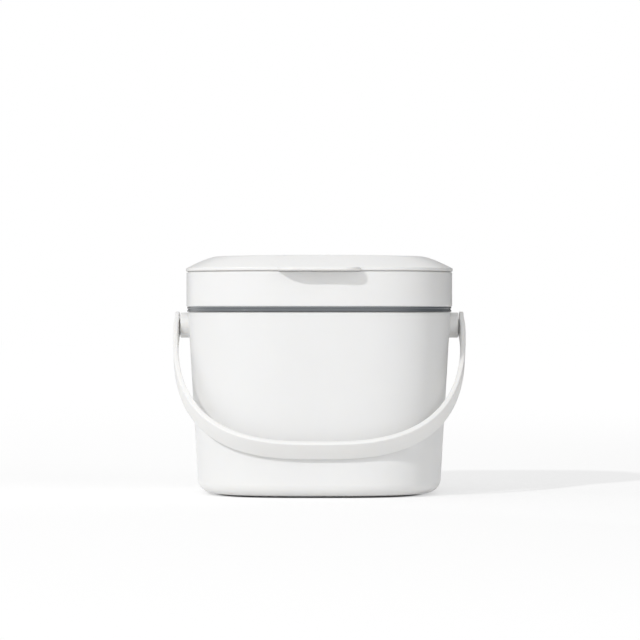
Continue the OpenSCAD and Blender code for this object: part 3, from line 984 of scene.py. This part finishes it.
# The colour goes from the moulded tone to worn and dusty by their masks, and painted shade
# darkens it in a level seam. The roughness follows the tone plus scuffs and dust, and the height
# is the grain less scuffs.
def plasticMaterial(s):
    material, tree, shader = newMaterial(s["name"])
    place = addNode(tree, "ShaderNodeTexCoord").outputs["Object"]

    def placed(name, inputs):
        inputs = {"Vector": place, **inputs}
        return addNode(tree, "ShaderNodeGroup", inputs, node_tree=groups[name]).outputs

    mould = placed("mould", {"Grain Scale": s["grainScale"], "Wave Share": s["waveShare"]})
    scuffs = placed("scuffs", {"Amount": s["scuffs"]})["Mask"]
    edges = placed("edges", {"Amount": s["edges"]})["Mask"]
    dust = placed("dust", {"Amount": s["dust"]})["Mask"]
    reach = {"Level": s["seamLevel"] * mm, "Reach": s["seamReach"] * mm}
    # painted shade: the seam mask darkens the colour in a band at one height
    seam = placed("seam", {**reach, "Amount": s["seamShadeAmount"]})["Mask"]
    colour = mixColours(tree, mould["Tone"], s["shade"], s["colour"])
    colour = mixColours(tree, edges, colour, s["worn"])
    colour = mixColours(tree, seam, colour, s["seamShadeColour"])
    colour = mixColours(tree, dust, colour, s["dustColour"])
    tree.links.new(colour, shader.inputs["Base Color"])
    low, high = s["roughness"] - s["roughSpread"] / 2, s["roughness"] + s["roughSpread"] / 2
    tone = ramp(tree, mould["Tone"], *s["toneLevels"], low, high)
    marks = mathNode(tree, "ADD", scuffs, dust)
    rough = mathNode(tree, "MULTIPLY_ADD", marks, s["scuffRough"], tone)
    tree.links.new(rough, shader.inputs["Roughness"])
    height = mathNode(tree, "MULTIPLY_ADD", scuffs, s["scuffHeight"], mould["Height"])
    addBump(tree, shader, s, height)
    shader.inputs["IOR"].default_value = s["ior"]
    if s["coat"]:
        shader.inputs["Coat Weight"].default_value = s["coat"]
        shader.inputs["Coat Roughness"].default_value = s["coatRough"]
    if s["subsurface"]:
        shader.inputs["Subsurface Weight"].default_value = s["subsurface"]
        shader.inputs["Subsurface Radius"].default_value = s["scatter"]
        shader.inputs["Subsurface Scale"].default_value = s["depth"]
    return material


drawnSteel = {
    "name": "drawnSteel",
    "colour": (0.62, 0.62, 0.63, 1),
    "dark": (0.48, 0.48, 0.49, 1),
    "roughness": (0.20, 0.40),
    "lineScale": 6000.0,
    "lineStretch": (0.03, 1.0, 1.0),
    "bump": 0.1,
    "bumpDistance": 0.0002,
}


def steelMaterial(s):  # drawing lines run along X, so the noise is drawn out along it
    material, tree, shader = newMaterial(s["name"])
    place = addNode(tree, "ShaderNodeTexCoord").outputs["Object"]
    drawn = addNode(tree, "ShaderNodeMapping", {"Vector": place, "Scale": s["lineStretch"]})
    lines = noise(tree, drawn.outputs[0], s["lineScale"], 3.0)
    tree.links.new(mixColours(tree, lines, s["dark"], s["colour"]), shader.inputs["Base Color"])
    rough = ramp(tree, lines, 0.0, 1.0, *s["roughness"])
    tree.links.new(rough, shader.inputs["Roughness"])
    addBump(tree, shader, s, lines)
    shader.inputs["Metallic"].default_value = 1.0
    return material


camera = {
    "distance": 2.03,
    "height": 0.1243,  # level with the bucket's rim
    "pitch": 90 - 0.157,
    "lens": 165.5,
    "sensor": 36.0,
    "shiftX": 0.0011,
    "clip": (0.1, 50.0),
}


def makeCamera(s):  # in front of the object, looking along Y
    data = bpy.data.cameras.new("camera")
    data.lens, data.sensor_width, data.shift_x = s["lens"], s["sensor"], s["shiftX"]
    data.clip_start, data.clip_end = s["clip"]
    holder = addToScene(bpy.data.objects.new("camera", data))
    holder.location = (0, -s["distance"], s["height"])
    holder.rotation_euler = (math.radians(s["pitch"]), 0, 0)
    bpy.context.scene.camera = holder


lights = {
    "keyAzimuth": 38.5,  # degrees left of the front
    "keyElevation": 31.0,
    "keyPower": 1.2,
    "keyAngle": 2.5,
    "fillAzimuth": -50.0,
    "fillElevation": 22.0,
    "fillPower": 12.5,
    "fillSize": 1.6,
    "fillDistance": 2.6,
    "aimHeight": 0.08,
    "worldLevel": 0.69,
}
white = (1, 1, 1, 1)


def towards(azimuth, elevation):  # unit vector from the object to a light
    a, e = math.radians(azimuth), math.radians(elevation)
    return Vector((-math.sin(a) * math.cos(e), -math.cos(a) * math.cos(e), math.sin(e)))


# 1 for rays that show the background: from the camera, off gloss or through glass.
def seenRays(tree):
    path = addNode(tree, "ShaderNodeLightPath").outputs
    glossy = mathNode(tree, "MAXIMUM", path["Is Camera Ray"], path["Is Glossy Ray"])
    return mathNode(tree, "MAXIMUM", glossy, path["Is Transmission Ray"])


# A sun from the front left, a square lamp from the front right that leaves no highlight,
# and a pale world that is white where it is seen.
def makeLights(s):
    sun = bpy.data.lights.new("key", "SUN")
    sun.energy, sun.angle = s["keyPower"], math.radians(s["keyAngle"])
    fill = bpy.data.lights.new("fill", "AREA")
    fill.energy, fill.shape, fill.size = s["fillPower"], "SQUARE", s["fillSize"]
    for data, azimuth, elevation in (
        (sun, s["keyAzimuth"], s["keyElevation"]),
        (fill, s["fillAzimuth"], s["fillElevation"]),
    ):
        lamp = addToScene(bpy.data.objects.new(data.name, data))
        direction = towards(azimuth, elevation)
        lamp.location = direction * s["fillDistance"] + Vector((0, 0, s["aimHeight"]))
        lamp.rotation_euler = (-direction).to_track_quat("-Z", "Y").to_euler()
        lamp.visible_glossy = data is sun
    world = bpy.data.worlds.new("studio")
    world.use_nodes = True
    bpy.context.scene.world = world
    tree = world.node_tree
    tree.nodes.clear()
    level = ramp(tree, seenRays(tree), 0.0, 1.0, s["worldLevel"], 1.0)
    back = addNode(tree, "ShaderNodeBackground", {"Color": white, "Strength": level})
    addNode(tree, "ShaderNodeOutputWorld", {"Surface": back.outputs[0]})


def stageFace(name, corners, materialName):  # one flat face, with an empty material
    mesh = bpy.data.meshes.new(name)
    mesh.from_pydata(corners, [], [(0, 1, 2, 3)])
    material = bpy.data.materials.new(materialName)
    material.use_nodes = True
    material.node_tree.nodes.clear()
    mesh.materials.append(material)
    return addToScene(bpy.data.objects.new(name, mesh)), material.node_tree


floorLook = {
    "half": 9.0,
    "glow": 0.53,
    "albedo": 0.53,
    "bounce": 0.94,
    # painted contact shadow under the bucket: the outline where the floor's glow is left out
    "contactShadowHalf": (0.0675, 0.063, 1.0),  # a and b of the dark patch under the bucket
    "contactShadowPower": 3.0,
    "contactShadowFade": 1.25,
}


# White to the camera and in reflections, plain pale to every other ray. The glow that makes
# it white stops under the bucket, inside |x/a|^3 + |y/b|^3 = 1: a painted contact shadow, so the
# gap there stays dark.
def makeFloor(s):
    h = s["half"]
    corners = [(-h, -h, 0), (h, -h, 0), (h, h, 0), (-h, h, 0)]
    floor, tree = stageFace("floor", corners, "paleFloor")
    matt = addNode(tree, "ShaderNodeBsdfDiffuse", {"Color": (s["albedo"],) * 3 + (1,)})
    place = addNode(tree, "ShaderNodeTexCoord").outputs["Object"]
    share = addNode(tree, "ShaderNodeVectorMath", {0: place, 1: s["contactShadowHalf"]},
                    operation="DIVIDE").outputs["Vector"]
    size = addNode(tree, "ShaderNodeVectorMath", {0: share}, operation="ABSOLUTE")
    parts = addNode(tree, "ShaderNodeSeparateXYZ", {0: size.outputs["Vector"]}).outputs
    powers = [mathNode(tree, "POWER", parts[axis], s["contactShadowPower"]) for axis in "XY"]
    # painted contact shadow: no glow inside the outline, fading back in outside it
    level = ramp(tree, mathNode(tree, "ADD", *powers), 1.0, s["contactShadowFade"], 0.0, s["glow"])
    glow = addNode(tree, "ShaderNodeEmission", {"Color": white, "Strength": level})
    shown = addNode(tree, "ShaderNodeAddShader", {0: matt.outputs[0], 1: glow.outputs[0]})
    other = addNode(tree, "ShaderNodeBsdfDiffuse", {"Color": (s["bounce"],) * 3 + (1,)})
    inputs = {0: seenRays(tree), 1: other.outputs[0], 2: shown.outputs[0]}
    mixed = addNode(tree, "ShaderNodeMixShader", inputs)
    addNode(tree, "ShaderNodeOutputMaterial", {"Surface": mixed.outputs[0]})


# Upright boards beside and behind the object, hidden from the camera, that the glossy
# plastic reflects as darker bands. Each goes from one plan point to the other.
boards = {
    "right": {
        "ends": ((1.0, -1.6), (1.0, 0.8)),
        "height": 1.8,
        "tone": 0.0,
        "fade": 1.3,
        "topFade": 0.5,
        "seenByMatt": True,
    },
    "backRight": {
        "ends": ((1.0, 0.8), (0.12, 2.6)),
        "height": 1.3,
        "tone": 0.12,
        "fade": 0.01,
        "topFade": 0.5,
        "seenByMatt": False,
    },
    "backLeft": {
        "ends": ((-1.0, 0.8), (-0.12, 2.6)),
        "height": 1.3,
        "tone": 0.25,
        "fade": 0.5,
        "topFade": 0.5,
        "seenByMatt": False,
    },
}


# Tone of a board at a point: white at its first end, falling in a straight line to "tone"
# over the length "fade" in Y, and the same again from its top edge over "topFade".
def makeBoards(settings):
    for side, s in settings.items():
        (x0, y0), (x1, y1) = s["ends"]
        top, tone = s["height"], s["tone"]
        corners = [(x0, y0, 0), (x1, y1, 0), (x1, y1, top), (x0, y0, top)]
        board, tree = stageFace(side + "Board", corners, side + "Board")
        place = addNode(tree, "ShaderNodeTexCoord").outputs["Object"]
        parts = addNode(tree, "ShaderNodeSeparateXYZ", {0: place}).outputs
        along = ramp(tree, parts["Y"], y0, y0 + s["fade"], 1.0, tone)
        down = ramp(tree, parts["Z"], top, top - s["topFade"], 1.0, tone)
        level = mathNode(tree, "MAXIMUM", along, down)
        glow = addNode(tree, "ShaderNodeEmission", {"Color": white, "Strength": level})
        addNode(tree, "ShaderNodeOutputMaterial", {"Surface": glow.outputs[0]})
        board.visible_camera = False
        board.visible_diffuse = s["seenByMatt"]
        board.visible_shadow = False


bpy.context.scene.view_settings.view_transform = "Standard"
makeCamera(camera)
makeLights(lights)
makeFloor(floorLook)
makeBoards(boards)
print("stage ready")

glossWhite = plasticMaterial(whiteGloss)
satinWhite = plasticMaterial(whiteSatin)
makeBucket(satinWhite)
makeCollar(plasticMaterial(greyGloss))
makeLidSkirt(glossWhite)
makeLidCap(glossWhite)
makeHingePin(steelMaterial(drawnSteel))
makeHandle(satinWhite)

bpy.context.view_layer.update()
